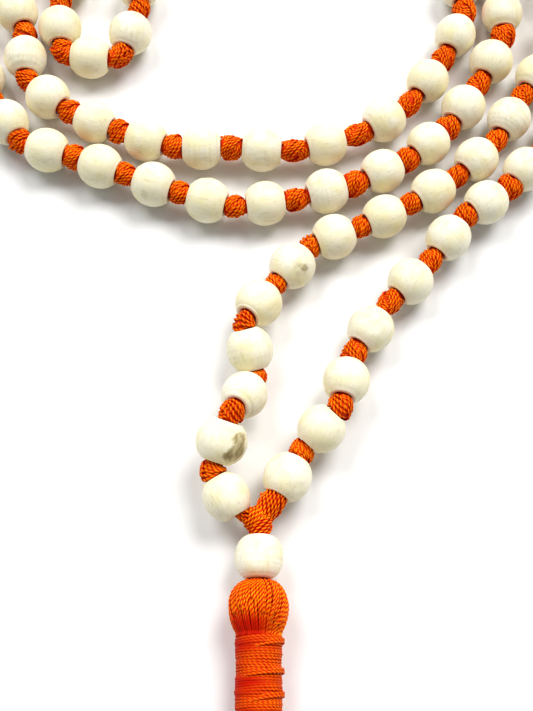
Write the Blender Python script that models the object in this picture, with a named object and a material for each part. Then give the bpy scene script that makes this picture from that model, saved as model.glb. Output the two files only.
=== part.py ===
"""Mala prayer beads: 108 turned wooden beads and a guru bead on a knotted cord, ending in a tassel.

The closed loop is pressed flat into a double strand, which lies on a table as one spiral turn and
a half. The tassel is at the near end, and the far end of the loop is a hairpin in the middle.
Metres, +Z up, the table is z = 0. Every bead sits between two knots of the cord, so a strand is a
chain of stiff links that bends only at its knots. Each list below gives the knots of one visible
stretch in millimetres, and the unseen stretches between them are spiral arcs.
"""

import math

import bpy
from mathutils import Matrix, Vector

MM = 0.001

# Beads: round-shouldered barrels with flat ends, bored along their length.
BEAD_RADIUS = 5.0 * MM
BEAD_LENGTH = 8.6 * MM
BEAD_FACE_RADIUS = 2.9 * MM
BEAD_BELT = 1.6 * MM
BEAD_BORE_RADIUS = 1.5 * MM
BEAD_SIDES = 10
BEAD_HEIGHT = BEAD_RADIUS * math.cos(math.pi / BEAD_SIDES)

# Cord and knots.
CORD_RADIUS = 1.0 * MM
CORD_SIDES = 8
KNOT_RADIUS = 1.7 * MM
KNOT_HALF = 1.5 * MM
GAP = 0.3 * MM

# A bead of a joined run has fewer sides, and the same height above the table.
RUN_SIDES = 8
RUN_RADIUS = BEAD_HEIGHT / math.cos(math.pi / RUN_SIDES)

# Guru bead and tassel lie on one level axis along Y.
TASSEL_SIDES = 12
HEAD_RADIUS = 5.9 * MM
AXIS_HEIGHT = HEAD_RADIUS * math.cos(math.pi / TASSEL_SIDES)
TASSEL_X = -1.5
GURU_RADIUS = 4.8 * MM
GURU_TOP = -38.3
GURU_BOTTOM = -46.85
DOUBLED_CORD_TUCK = 0.3
HEAD_MIDDLE = -52.3
HEAD_BORE = 1.8 * MM
STOPPER_RADIUS = 1.4 * MM
BINDING_TOP = -57.9
BINDING_BOTTOM = -80.0
BINDING_RADIUS = 4.7 * MM
BINDING_EDGE = 4.4 * MM
BINDING_BORE = 3.3 * MM
CORE_RADIUS = 3.0 * MM
SKIRT_PIVOT = -83.5
SETTLED = -90.0
SKIRT_END = -124.0

# The layout is moved so that the middle of the whole object is at x = y = 0.
LAYOUT_MIDDLE = (3.5, 24.4)

# Knots, in millimetres: x, y and how far the knot is lifted above a strand that lies flat.
LEG_LEFT = [
    (-5.0, -35.7, 1.0), (-11.0, -25.5, 2.9), (-7.0, -14.5, 6.5), (-2.0, -4.9, -0.3),
    (-5.0, 6.0, 4.0), (1.7, 15.8, 0.2), (9.4, 25.2, 0.0), (20.0, 29.6, 0.0),
    (31.5, 35.2, 0.0), (42.0, 42.0, 0.0), (51.5, 51.0, 0.0), (58.0, 62.5, 0.0),
    (66.0, 73.5, 0.0), (68.5, 86.5, 0.0), (66.5, 99.5, 0.0),
]
LEG_RIGHT = [
    (1.2, -32.2, 0.8), (7.3, -20.5, 0.2), (15.0, -12.5, 3.2), (18.0, 0.2, 0.2),
    (25.9, 11.6, 0.0), (35.8, 22.1, 0.0), (43.0, 32.0, 0.7), (53.4, 39.2, 0.0),
    (61.5, 48.7, 0.0), (70.0, 60.5, 0.0), (76.5, 72.0, 0.0), (79.5, 85.0, 0.0),
]
SWEEP_UPPER = [
    (-60.5, 91.5, 0.0), (-56.0, 79.5, 0.0), (-55.0, 66.5, 0.0), (-44.5, 58.5, 0.0),
    (-33.0, 53.5, 0.0), (-21.0, 49.5, 0.0), (-8.0, 49.5, 0.0), (6.0, 48.5, 0.0),
    (20.5, 52.5, 0.0), (32.5, 60.5, 0.0), (41.0, 73.0, 0.0), (46.5, 85.0, 0.0),
]
SWEEP_LOWER = [
    (-72.5, 86.5, 0.0), (-67.5, 74.0, 0.0), (-62.2, 61.4, 0.0), (-55.0, 50.6, 0.0),
    (-43.0, 47.0, 0.0), (-31.0, 42.5, 0.0), (-19.0, 38.0, 0.0), (-7.0, 34.5, 0.0),
    (6.5, 36.5, 0.0), (20.0, 40.5, 0.0), (31.5, 46.5, 0.0), (41.0, 54.4, 0.0),
    (48.3, 65.3, 0.0), (55.0, 78.5, 0.0), (55.0, 91.5, 0.0),
]
HAIRPIN = [
    (-44.5, 101.5, 0.0), (-48.5, 88.5, 0.0), (-47.5, 73.8, 0.0), (-33.6, 72.3, 0.0),
    (-29.6, 86.9, 0.0),
]
YOKE = (-1.5, -35.2, 0.9)
YOKE_RADIUS = 2.2 * MM

# Unseen arcs: beads on each, and how far the arc bulges past a plain spiral, in millimetres.
ARC_MIDDLE = (2.0, 92.0)
OUTER_LEFT_ARC = (14, 1.5)
OUTER_RIGHT_ARC = (19, 0.0)
INNER_LEFT_ARC = (10, 0.0)
INNER_RIGHT_ARC = (11, 1.3)

# Pivot knots of the folds, as places in LEG_LEFT and LEG_RIGHT.
FOLD_KNOTS = {"fold_1": 1, "fold_2": 2, "fold_3": 4}

WOOD_COLOUR = (0.86, 0.81, 0.66, 1.0)
THREAD_COLOUR = (0.83, 0.20, 0.015, 1.0)


def world(point):
    """A place in the layout, in millimetres, as a point in metres."""
    x, y, lift = point
    flat = Vector((x - LAYOUT_MIDDLE[0], y - LAYOUT_MIDDLE[1], lift)) * MM
    return flat + Vector((0, 0, BEAD_HEIGHT))


def on_axis(y):
    """A point on the level axis of the guru bead and the tassel."""
    return Vector(((TASSEL_X - LAYOUT_MIDDLE[0]) * MM, (y - LAYOUT_MIDDLE[1]) * MM, AXIS_HEIGHT))


def clear_scene():
    for old in list(bpy.data.objects):
        bpy.data.objects.remove(old, do_unlink=True)


def material(name, colour, roughness):
    made = bpy.data.materials.new(name)
    made.use_nodes = True
    shader = made.node_tree.nodes["Principled BSDF"]
    shader.inputs["Base Color"].default_value = colour
    shader.inputs["Roughness"].default_value = roughness
    shader.inputs["Metallic"].default_value = 0.0
    return made


def spiral_arc(start, end, links, bulge):
    """The knots between two strands' ends, evenly spaced on a spiral about ARC_MIDDLE."""
    first = Vector((start[0] - ARC_MIDDLE[0], start[1] - ARC_MIDDLE[1]))
    last = Vector((end[0] - ARC_MIDDLE[0], end[1] - ARC_MIDDLE[1]))
    first_angle = math.atan2(first.y, first.x)
    last_angle = math.atan2(last.y, last.x) % (2 * math.pi)
    knots = []
    for step in range(1, links):
        part = step / links
        angle = first_angle + (last_angle - first_angle) * part
        radius = first.length + (last.length - first.length) * part
        radius += bulge * math.sin(math.pi * part)
        x = ARC_MIDDLE[0] + radius * math.cos(angle)
        y = ARC_MIDDLE[1] + radius * math.sin(angle)
        knots.append((x, y, 0.0))
    return knots


def mesh_object(name, vertices, faces, origin, finish):
    """An object with its origin at the given point and its mesh placed around it."""
    mesh = bpy.data.meshes.new(name)
    mesh.from_pydata([tuple(v - origin) for v in vertices], [], faces)
    mesh.shade_smooth()
    mesh.set_sharp_from_angle(angle=math.radians(40))
    made = bpy.data.objects.new(name, mesh)
    made.location = origin
    made.data.materials.append(finish)
    bpy.context.scene.collection.objects.link(made)
    return made


def pivot(name, origin, parent=None):
    """An empty on a joint's axis, which carries everything that turns with it."""
    made = bpy.data.objects.new(name, None)
    made.empty_display_size = 4 * MM
    made.location = origin
    bpy.context.scene.collection.objects.link(made)
    if parent:
        attach(made, parent)
    return made


def attach(child, parent):
    """Parent an object without moving it."""
    bpy.context.view_layer.update()
    child.parent = parent
    child.matrix_parent_inverse = parent.matrix_world.inverted()


def lathe(profile, sides):
    """A turned ring: (x along the axis, radius) points round a closed outline, with a facet down."""
    vertices = []
    for x, radius in profile:
        for side in range(sides):
            angle = 2 * math.pi * (side + 0.5) / sides - math.pi / 2
            vertices.append(Vector((x, radius * math.cos(angle), radius * math.sin(angle))))
    faces = []
    rows = len(profile)
    for row in range(rows):
        here = row * sides
        there = (row + 1) % rows * sides
        for side in range(sides):
            other = (side + 1) % sides
            faces.append((here + side, here + other, there + other, there + side))
    return vertices, faces


def tube(stations, sides):
    """A capped solid through (centre, direction, half width, half height) stations."""
    vertices = []
    for centre, direction, wide, high in stations:
        across = direction.cross(Vector((0, 0, 1))).normalized()
        up = across.cross(direction).normalized()
        for side in range(sides):
            angle = 2 * math.pi * (side + 0.5) / sides - math.pi / 2
            vertices.append(centre + across * wide * math.cos(angle) + up * high * math.sin(angle))
    faces = [tuple(reversed(range(sides)))]
    for row in range(len(stations) - 1):
        here = row * sides
        there = here + sides
        for side in range(sides):
            other = (side + 1) % sides
            faces.append((here + side, here + other, there + other, there + side))
    last = (len(stations) - 1) * sides
    faces.append(tuple(range(last, last + sides)))
    return vertices, [tuple(reversed(face)) for face in faces]


def bead_profile(radius, length):
    """Half of the bead's outline, mirrored, with its bore."""
    half = length / 2
    quarter = [(BEAD_BELT / 2, radius), (half * 0.62, radius * 0.9), (half, BEAD_FACE_RADIUS)]
    outer = [(-x, r) for x, r in reversed(quarter)] + quarter
    return [(-half, BEAD_BORE_RADIUS)] + outer + [(half, BEAD_BORE_RADIUS)]


def bead_mesh(name, radius, length, finish):
    vertices, faces = lathe(bead_profile(radius, length), BEAD_SIDES)
    mesh = bpy.data.meshes.new(name)
    mesh.from_pydata([tuple(v) for v in vertices], [], faces)
    mesh.shade_smooth()
    mesh.set_sharp_from_angle(angle=math.radians(40))
    mesh.materials.append(finish)
    return mesh


def place_bead(name, mesh, start, end, parent):
    """A bead halfway between two knots, bored along the line from one to the other."""
    along = (end - start).normalized()
    across = Vector((0, 0, 1)).cross(along).normalized()
    up = along.cross(across)
    made = bpy.data.objects.new(name, mesh)
    bpy.context.scene.collection.objects.link(made)
    turn = Matrix((along, across, up)).transposed().to_4x4()
    made.matrix_world = Matrix.Translation((start + end) / 2) @ turn
    attach(made, parent)
    return made


def directions(knots):
    return [(b - a).normalized() for a, b in zip(knots, knots[1:])]


def round_end(centre, inward):
    """The outer half of a pivot knot, which is a ball so that its neighbours can turn about it."""
    rings = []
    for share in (0.92, 0.55):
        radius = KNOT_RADIUS * math.sqrt(1 - share * share)
        rings.append((centre - inward * KNOT_RADIUS * share, inward, radius, radius))
    return rings


def knotted(knots, first_is_ball, last_is_ball, swell):
    """Stations of a cord with a knot at each point; an end that isn't a ball stops short of one."""
    ways = directions(knots)
    clear = KNOT_RADIUS + GAP
    stations = []
    for place, knot in enumerate(knots):
        before = ways[max(place - 1, 0)]
        after = ways[min(place, len(ways) - 1)]
        radius = swell.get(place, KNOT_RADIUS)
        if place == 0 and not first_is_ball:
            stations.append((knot + after * clear, after, CORD_RADIUS, CORD_RADIUS))
            continue
        if place == len(knots) - 1 and not last_is_ball:
            stations.append((knot - before * clear, before, CORD_RADIUS, CORD_RADIUS))
            continue
        if place == 0:
            stations += round_end(knot, after)
        else:
            stations.append((knot - before * KNOT_HALF, before, CORD_RADIUS, CORD_RADIUS))
        middle = (before + after).normalized()
        stations.append((knot, middle, radius, radius))
        if place == len(knots) - 1:
            stations += [(p, before, w, h) for p, _, w, h in reversed(round_end(knot, -before))]
        else:
            stations.append((knot + after * KNOT_HALF, after, CORD_RADIUS, CORD_RADIUS))
    return stations


def cord(name, knots, parent, finish, first_is_ball=True, last_is_ball=True, swell=None):
    vertices, faces = tube(knotted(knots, first_is_ball, last_is_ball, swell or {}), CORD_SIDES)
    made = mesh_object(name, vertices, faces, knots[0], finish)
    attach(made, parent)
    return made


def joined_run(name, knots, parent, finish):
    """Many beads and their cord as one solid, for the stretches beyond the hand-made ones."""
    half = BEAD_LENGTH / 2
    belt = BEAD_BELT / 2 + 0.3 * MM
    outline = [(-half, BEAD_FACE_RADIUS), (-belt, RUN_RADIUS), (belt, RUN_RADIUS), (half, BEAD_FACE_RADIUS)]
    clear = KNOT_RADIUS + GAP
    ways = directions(knots)
    stations = [(knots[0] + ways[0] * clear, ways[0], CORD_RADIUS, CORD_RADIUS)]
    for place, way in enumerate(ways):
        if place:
            middle = (ways[place - 1] + way).normalized()
            stations.append((knots[place], middle, KNOT_RADIUS, KNOT_RADIUS))
        centre = (knots[place] + knots[place + 1]) / 2
        for x, radius in outline:
            stations.append((centre + way * x, way, radius, radius))
    stations.append((knots[-1] - ways[-1] * clear, ways[-1], CORD_RADIUS, CORD_RADIUS))
    vertices, faces = tube(stations, RUN_SIDES)
    made = mesh_object(name, vertices, faces, knots[0], finish)
    attach(made, parent)
    return made


def turned_on_axis(name, profile, parent, finish, sides=TASSEL_SIDES):
    """A turned piece on the tassel's axis: (y in millimetres, radius) points round its outline."""
    vertices, faces = lathe([(-y * MM, radius) for y, radius in profile], sides)
    base = on_axis(0.0)
    turn = Matrix.Rotation(-math.pi / 2, 4, "Z")
    placed = [turn @ v + base for v in vertices]
    made = mesh_object(name, placed, faces, on_axis(profile[0][0]), finish)
    attach(made, parent)
    return made


def build_beads(group, knots, first, last, mesh, parent_of):
    """One bead on each link from first to last; names count along the strand."""
    for count, link in enumerate(range(first, last + 1), start=1):
        name = f"bead_{group}_{count:02d}"
        place_bead(name, mesh, knots[link], knots[link + 1], parent_of(link))


def leg_parent(pivots, root):
    """The section that carries a link of a leg: each fold takes the links nearer the tassel."""
    def chosen(link):
        for name in ("fold_1", "fold_2", "fold_3"):
            if link < FOLD_KNOTS[name]:
                return pivots[name]
        return root
    return chosen


def build_folds(left, right, root):
    """The three sections next to the tassel, each hinged on one knot of either leg."""
    pivots = {}
    parent = root
    for name in ("fold_3", "fold_2", "fold_1"):
        middle = (left[FOLD_KNOTS[name]] + right[FOLD_KNOTS[name]]) / 2
        pivots[name] = pivot(f"pivot_{name}", middle, parent)
        parent = pivots[name]
    return pivots


def build_section_cords(left, right, pivots, thread):
    """Cords of the folding sections, which end short of the next section's pivot knots."""
    inner, middle, outer = (FOLD_KNOTS[name] for name in ("fold_1", "fold_2", "fold_3"))
    for side, knots in (("left", left), ("right", right)):
        far = list(reversed(knots[middle:outer + 1]))
        near = list(reversed(knots[inner:middle + 1]))
        cord(f"cord_{side}_far", far, pivots["fold_3"], thread, last_is_ball=False)
        cord(f"cord_{side}_near", near, pivots["fold_2"], thread, last_is_ball=False)
    path = [left[1], left[0], world(YOKE), right[0], right[1]]
    cord("yoke_knot", path, pivots["fold_1"], thread, swell={2: YOKE_RADIUS})


def build_guru(parent, wood, thread):
    """The guru bead and the doubled cord that it turns on."""
    swing = pivot("pivot_guru_swing", world(YOKE), parent)
    mesh = bead_mesh("guru_bead", GURU_RADIUS, (GURU_TOP - GURU_BOTTOM) * MM, wood)
    place_bead("guru_bead", mesh, on_axis(GURU_TOP), on_axis(GURU_BOTTOM), swing)
    doubled = 1.1 * MM
    top = on_axis(GURU_TOP + 0.1)
    bottom = on_axis(GURU_BOTTOM + DOUBLED_CORD_TUCK)
    way = (bottom - top).normalized()
    vertices, faces = tube([(top, way, doubled, doubled), (bottom, way, doubled, doubled)], CORD_SIDES)
    made = mesh_object("guru_cord", vertices, faces, top, thread)
    attach(made, swing)
    return swing


def build_tassel(parent, thread):
    """Head of folded threads round a stopper knot, a wound neck round its core, and a loose skirt."""
    lift = pivot("pivot_tassel_lift", on_axis(HEAD_MIDDLE), parent)
    head = [
        (5.0, HEAD_BORE), (4.5, 3.1 * MM), (3.6, 4.3 * MM), (2.2, 5.4 * MM), (0.0, HEAD_RADIUS),
        (-2.4, 5.5 * MM), (-4.2, 4.6 * MM), (-5.3, 3.7 * MM), (-5.3, HEAD_BORE),
    ]
    head = [(HEAD_MIDDLE + y, radius) for y, radius in head]
    turned_on_axis("tassel_head", head, lift, thread)

    stopper = []
    for step in range(-2, 3):
        share = 0.45 * step
        radius = STOPPER_RADIUS * math.sqrt(1 - share * share)
        centre = on_axis(HEAD_MIDDLE - share * STOPPER_RADIUS / MM)
        stopper.append((centre, Vector((0, -1, 0)), radius, radius))
    vertices, faces = tube(stopper, CORD_SIDES)
    attach(mesh_object("stopper_knot", vertices, faces, on_axis(HEAD_MIDDLE), thread), lift)

    ends = [(BINDING_TOP, Vector((0, -1, 0))), (BINDING_BOTTOM, Vector((0, -1, 0)))]
    vertices, faces = tube([(on_axis(y), way, CORE_RADIUS, CORE_RADIUS) for y, way in ends], TASSEL_SIDES)
    attach(mesh_object("tassel_core", vertices, faces, on_axis(BINDING_TOP), thread), lift)

    binding = [
        (BINDING_TOP, BINDING_BORE), (BINDING_TOP, BINDING_EDGE), (BINDING_TOP - 0.6, BINDING_RADIUS),
        (BINDING_BOTTOM + 0.6, BINDING_RADIUS), (BINDING_BOTTOM, BINDING_EDGE),
        (BINDING_BOTTOM, BINDING_BORE),
    ]
    turned_on_axis("tassel_binding", binding, lift, thread)
    return lift


def build_skirt(parent, thread):
    """The cut threads, which fan out and settle on the table."""
    sway = pivot("pivot_skirt_sway", on_axis(SKIRT_PIVOT), parent)
    shape = [
        (-80.3, 1.2, 1.2), (-81.0, 2.8, 2.8), (-83.5, 3.9, 3.9), (-88.0, 4.8, 4.4),
        (-96.0, 6.2, 4.2), (-110.0, 8.4, 3.4), (SKIRT_END, 10.0, 2.6),
    ]
    facet = math.cos(math.pi / TASSEL_SIDES)
    stations = []
    for y, wide, high in shape:
        centre = on_axis(y)
        if y < SETTLED:
            centre.z = high * MM * facet
        stations.append((centre, Vector((0, -1, 0)), wide * MM, high * MM))
    vertices, faces = tube(stations, TASSEL_SIDES)
    attach(mesh_object("tassel_skirt", vertices, faces, on_axis(SKIRT_PIVOT), thread), sway)


def build():
    clear_scene()
    wood = material("wood", WOOD_COLOUR, 0.6)
    thread = material("thread", THREAD_COLOUR, 0.55)
    mesh = bead_mesh("bead", BEAD_RADIUS, BEAD_LENGTH, wood)

    left = [world(p) for p in LEG_LEFT]
    right = [world(p) for p in LEG_RIGHT]
    upper = [world(p) for p in SWEEP_UPPER]
    lower = [world(p) for p in SWEEP_LOWER]
    hairpin = [world(p) for p in HAIRPIN]
    root = pivot("pivot_root", Vector((0, 0, 0)))
    pivots = build_folds(left, right, root)
    far_end = pivot("pivot_fold_far", (hairpin[1] + hairpin[4]) / 2, root)

    build_beads("left", left, 0, 10, mesh, leg_parent(pivots, root))
    build_beads("right", right, 0, 7, mesh, leg_parent(pivots, root))
    build_beads("upper", upper, 2, 9, mesh, lambda link: root)
    build_beads("lower", lower, 3, 11, mesh, lambda link: root)
    build_beads("far", hairpin, 1, 3, mesh, lambda link: far_end)

    outer = FOLD_KNOTS["fold_3"]
    cord("cord_left_leg", left[outer:12], root, thread, first_is_ball=False)
    cord("cord_right_leg", right[outer:9], root, thread, first_is_ball=False)
    cord("cord_upper_sweep", upper[2:11], root, thread)
    cord("cord_lower_sweep", lower[3:13], root, thread)
    cord("cord_far_end", hairpin[1:], far_end, thread)
    build_section_cords(left, right, pivots, thread)

    outer_left = [world(p) for p in spiral_arc(LEG_LEFT[-1], SWEEP_UPPER[0], *OUTER_LEFT_ARC)]
    outer_right = [world(p) for p in spiral_arc(LEG_RIGHT[-1], SWEEP_LOWER[0], *OUTER_RIGHT_ARC)]
    inner_left = [world(p) for p in spiral_arc(SWEEP_UPPER[-1], HAIRPIN[-1], *INNER_LEFT_ARC)]
    inner_right = [world(p) for p in spiral_arc(SWEEP_LOWER[-1], HAIRPIN[0], *INNER_RIGHT_ARC)]
    joined_run("run_outer_left", left[11:] + outer_left + upper[:3], root, wood)
    joined_run("run_outer_right", right[8:] + outer_right + lower[:4], root, wood)
    joined_run("run_inner_left", upper[10:] + inner_left + [hairpin[4]], root, wood)
    joined_run("run_inner_right", lower[12:] + inner_right + hairpin[:2], root, wood)

    guru = build_guru(pivots["fold_1"], wood, thread)
    lift = build_tassel(guru, thread)
    build_skirt(lift, thread)
    bpy.context.view_layer.update()


build()
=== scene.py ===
"""Looks of the mala prayer beads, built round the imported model.

The mala is one closed loop of 108 beads. Its knots are listed in order below, in the same places as
in the model, and every bead, knot and stretch of cord is made from them. Threads are real geometry:
each is a two-ply yarn, swept along its path with a cross-section that turns as the yarn twists.
"""

import math

import bpy
import numpy as np
from mathutils import Matrix, Vector

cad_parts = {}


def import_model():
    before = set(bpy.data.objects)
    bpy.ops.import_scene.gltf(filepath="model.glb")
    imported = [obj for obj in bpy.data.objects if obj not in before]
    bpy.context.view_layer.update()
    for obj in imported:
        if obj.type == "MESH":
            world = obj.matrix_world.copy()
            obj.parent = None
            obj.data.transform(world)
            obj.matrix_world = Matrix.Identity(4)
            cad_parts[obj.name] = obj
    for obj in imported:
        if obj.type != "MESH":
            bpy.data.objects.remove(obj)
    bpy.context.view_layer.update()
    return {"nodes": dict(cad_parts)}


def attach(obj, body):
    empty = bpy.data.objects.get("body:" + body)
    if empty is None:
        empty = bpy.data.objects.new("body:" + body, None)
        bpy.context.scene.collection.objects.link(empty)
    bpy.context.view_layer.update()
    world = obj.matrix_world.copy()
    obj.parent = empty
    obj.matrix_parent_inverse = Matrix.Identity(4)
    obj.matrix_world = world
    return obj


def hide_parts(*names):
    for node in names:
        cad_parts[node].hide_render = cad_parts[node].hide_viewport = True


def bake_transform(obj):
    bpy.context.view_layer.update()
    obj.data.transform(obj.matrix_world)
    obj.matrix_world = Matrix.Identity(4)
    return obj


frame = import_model()

MM = 0.001

# The model's layout, as the frame has it.
BEAD_RADIUS = 5.0 * MM
BEAD_LENGTH = 8.6 * MM
BEAD_HEIGHT = BEAD_RADIUS * math.cos(math.pi / 10)
CORD_DIAMETER = 2.0 * MM
HEAD_RADIUS = 5.9 * MM
BORE_RADIUS = 1.75 * MM
AXIS_HEIGHT = HEAD_RADIUS * math.cos(math.pi / 12)
TASSEL_X = -1.5
GURU_RADIUS = 4.8 * MM
GURU_TOP = -38.3
GURU_BOTTOM = -46.85
HEAD_MIDDLE = -52.3
BINDING_TOP = -57.9
BINDING_BOTTOM = -80.0
BINDING_RADIUS = 4.7 * MM
BINDING_THREAD = 0.7 * MM
BINDING_PITCH = 0.5
SKIRT_TOP = -80.2
SKIRT_END = -124.0
LAYOUT_MIDDLE = (3.5, 24.4)

# Knots, in millimetres: x, y and how far the knot is lifted above a strand that lies flat.
LEG_LEFT = [
    (-5.0, -35.7, 1.0), (-11.0, -25.5, 2.9), (-7.0, -14.5, 6.5), (-2.0, -4.9, -0.3),
    (-5.0, 6.0, 4.0), (1.7, 15.8, 0.2), (9.4, 25.2, 0.0), (20.0, 29.6, 0.0),
    (31.5, 35.2, 0.0), (42.0, 42.0, 0.0), (51.5, 51.0, 0.0), (58.0, 62.5, 0.0),
    (66.0, 73.5, 0.0), (68.5, 86.5, 0.0), (66.5, 99.5, 0.0),
]
LEG_RIGHT = [
    (1.2, -32.2, 0.8), (7.3, -20.5, 0.2), (15.0, -12.5, 3.2), (18.0, 0.2, 0.2),
    (25.9, 11.6, 0.0), (35.8, 22.1, 0.0), (43.0, 32.0, 0.7), (53.4, 39.2, 0.0),
    (61.5, 48.7, 0.0), (70.0, 60.5, 0.0), (76.5, 72.0, 0.0), (79.5, 85.0, 0.0),
]
SWEEP_UPPER = [
    (-60.5, 91.5, 0.0), (-56.0, 79.5, 0.0), (-55.0, 66.5, 0.0), (-44.5, 58.5, 0.0),
    (-33.0, 53.5, 0.0), (-21.0, 49.5, 0.0), (-8.0, 49.5, 0.0), (6.0, 48.5, 0.0),
    (20.5, 52.5, 0.0), (32.5, 60.5, 0.0), (41.0, 73.0, 0.0), (46.5, 85.0, 0.0),
]
SWEEP_LOWER = [
    (-72.5, 86.5, 0.0), (-67.5, 74.0, 0.0), (-62.2, 61.4, 0.0), (-55.0, 50.6, 0.0),
    (-43.0, 47.0, 0.0), (-31.0, 42.5, 0.0), (-19.0, 38.0, 0.0), (-7.0, 34.5, 0.0),
    (6.5, 36.5, 0.0), (20.0, 40.5, 0.0), (31.5, 46.5, 0.0), (41.0, 54.4, 0.0),
    (48.3, 65.3, 0.0), (55.0, 78.5, 0.0), (55.0, 91.5, 0.0),
]
HAIRPIN = [
    (-44.5, 101.5, 0.0), (-48.5, 88.5, 0.0), (-47.5, 73.8, 0.0), (-33.6, 72.3, 0.0),
    (-29.6, 86.9, 0.0),
]
YOKE = (-1.5, -35.2, 0.9)

# Unseen arcs: links on each, and how far the arc bulges past a plain spiral, in millimetres.
ARC_MIDDLE = (2.0, 92.0)
OUTER_LEFT_ARC = (14, 1.5)
OUTER_RIGHT_ARC = (19, 0.0)
INNER_LEFT_ARC = (10, 0.0)
INNER_RIGHT_ARC = (11, 1.3)

# The loop's stretches in order: how many beads, the nodes they stand for, and the count's direction.
STRETCHES = [
    (11, "bead_left", 1), (19, "run_outer_left", 0), (8, "bead_upper", 1), (11, "run_inner_left", 0),
    (3, "bead_far", -1), (14, "run_inner_right", 0), (9, "bead_lower", -1),
    (25, "run_outer_right", 0), (8, "bead_right", -1),
]
HAIRPIN_START = 49
HAIRPIN_END = 52

# Thread: a two-ply yarn.
THREAD_WIDTH = 0.66 * MM
THREAD_SPACING = 0.58 * MM
KNOT_THREAD = 0.72 * MM
TWIST_PITCH = 1.9 * MM
STATION_STEP = 0.21 * MM
PLY_DEPTH = 0.2
# Painted shade: how much darker the grooves between the plies (PLY_SHADE) and each thread's underside
# (SIDE_SHADE) are coloured.
PLY_SHADE = 0.8
SIDE_SHADE = 0.75
PLY_FLATNESS = 0.85
KNOT_THREADS = 4
KNOT_TWIST = 0.72
EYE_SHARE = 0.3
HEAD_STRANDS = 62
HEAD_OVERLAYS = 26
SKIRT_STRANDS = 150

# The skirt at rest: for places down it, half its width and half its thickness, in millimetres.
SKIRT_PLACES = [-124, -110, -96, -88, -83.5, -81, -80]
SKIRT_WIDE = [9.5, 8.0, 5.9, 4.5, 3.5, 2.5, 1.0]
SKIRT_THICK = [2.3, 3.1, 3.9, 4.1, 3.5, 2.5, 1.0]

# Bands of painted shade in deep red down the binding: place, width and strength.
PAINTED_SHADE_BANDS = ((-59.8, 1.5, 0.5), (-66.6, 0.9, 0.8), (-68.6, 1.0, 0.4), (-73.0, 1.5, 0.7), (-77.0, 1.0, 0.6))

# Turns laid over the binding: place, how far they lean in millimetres, and the angle they start at.
OVERLAID_TURNS = (
    (-59.4, 0.9, 5.4), (-64.6, 0.5, 5.9), (-69.2, 0.8, 5.6), (-72.4, 0.45, 6.1), (-76.5, 0.6, 5.0))

# The camera, in the layout's millimetres, and how far it looks off straight down.
CAMERA_PLACE = (0.0, -86.0, 241.0)
CAMERA_TILT = 20.0
CAMERA_LENS = 40.5
CAMERA_SENSOR = 24.0

Y = np.array([0.0, 1.0, 0.0])
Z = np.array([0.0, 0.0, 1.0])


# ---------------------------------------------------------------- places

def world(point):
    """A place in the layout, in millimetres, as a point in metres."""
    x, y, lift = point
    return np.array([x - LAYOUT_MIDDLE[0], y - LAYOUT_MIDDLE[1], lift]) * MM + BEAD_HEIGHT * Z


def on_axis(y, across=0.0, up=0.0):
    """A point beside the level axis of the guru bead and the tassel; across and up are in metres."""
    x = (TASSEL_X - LAYOUT_MIDDLE[0]) * MM + across
    return np.array([x, (y - LAYOUT_MIDDLE[1]) * MM, AXIS_HEIGHT + up])


def spiral_arc(start, end, links, bulge):
    """The knots between two strands' ends, evenly spaced on a spiral about ARC_MIDDLE."""
    first = Vector((start[0] - ARC_MIDDLE[0], start[1] - ARC_MIDDLE[1]))
    last = Vector((end[0] - ARC_MIDDLE[0], end[1] - ARC_MIDDLE[1]))
    first_angle = math.atan2(first.y, first.x)
    last_angle = math.atan2(last.y, last.x) % (2 * math.pi)
    knots = []
    for step in range(1, links):
        part = step / links
        angle = first_angle + (last_angle - first_angle) * part
        radius = first.length + (last.length - first.length) * part
        radius += bulge * math.sin(math.pi * part)
        x = ARC_MIDDLE[0] + radius * math.cos(angle)
        y = ARC_MIDDLE[1] + radius * math.sin(angle)
        knots.append((x, y, 0.0))
    return knots


def loop_knots():
    """Every knot of the closed loop in order, from the yoke's left arm round to its right arm."""
    outer_left = spiral_arc(LEG_LEFT[-1], SWEEP_UPPER[0], *OUTER_LEFT_ARC)
    outer_right = spiral_arc(LEG_RIGHT[-1], SWEEP_LOWER[0], *OUTER_RIGHT_ARC)
    inner_left = spiral_arc(SWEEP_UPPER[-1], HAIRPIN[-1], *INNER_LEFT_ARC)
    inner_right = spiral_arc(SWEEP_LOWER[-1], HAIRPIN[0], *INNER_RIGHT_ARC)
    forward = LEG_LEFT + outer_left + SWEEP_UPPER + inner_left
    back = LEG_RIGHT + outer_right + SWEEP_LOWER + inner_right + HAIRPIN
    return [world(p) for p in forward + back[::-1]]


def unit(v):
    return v / np.linalg.norm(v, axis=-1, keepdims=True)


# ---------------------------------------------------------------- meshes

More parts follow.
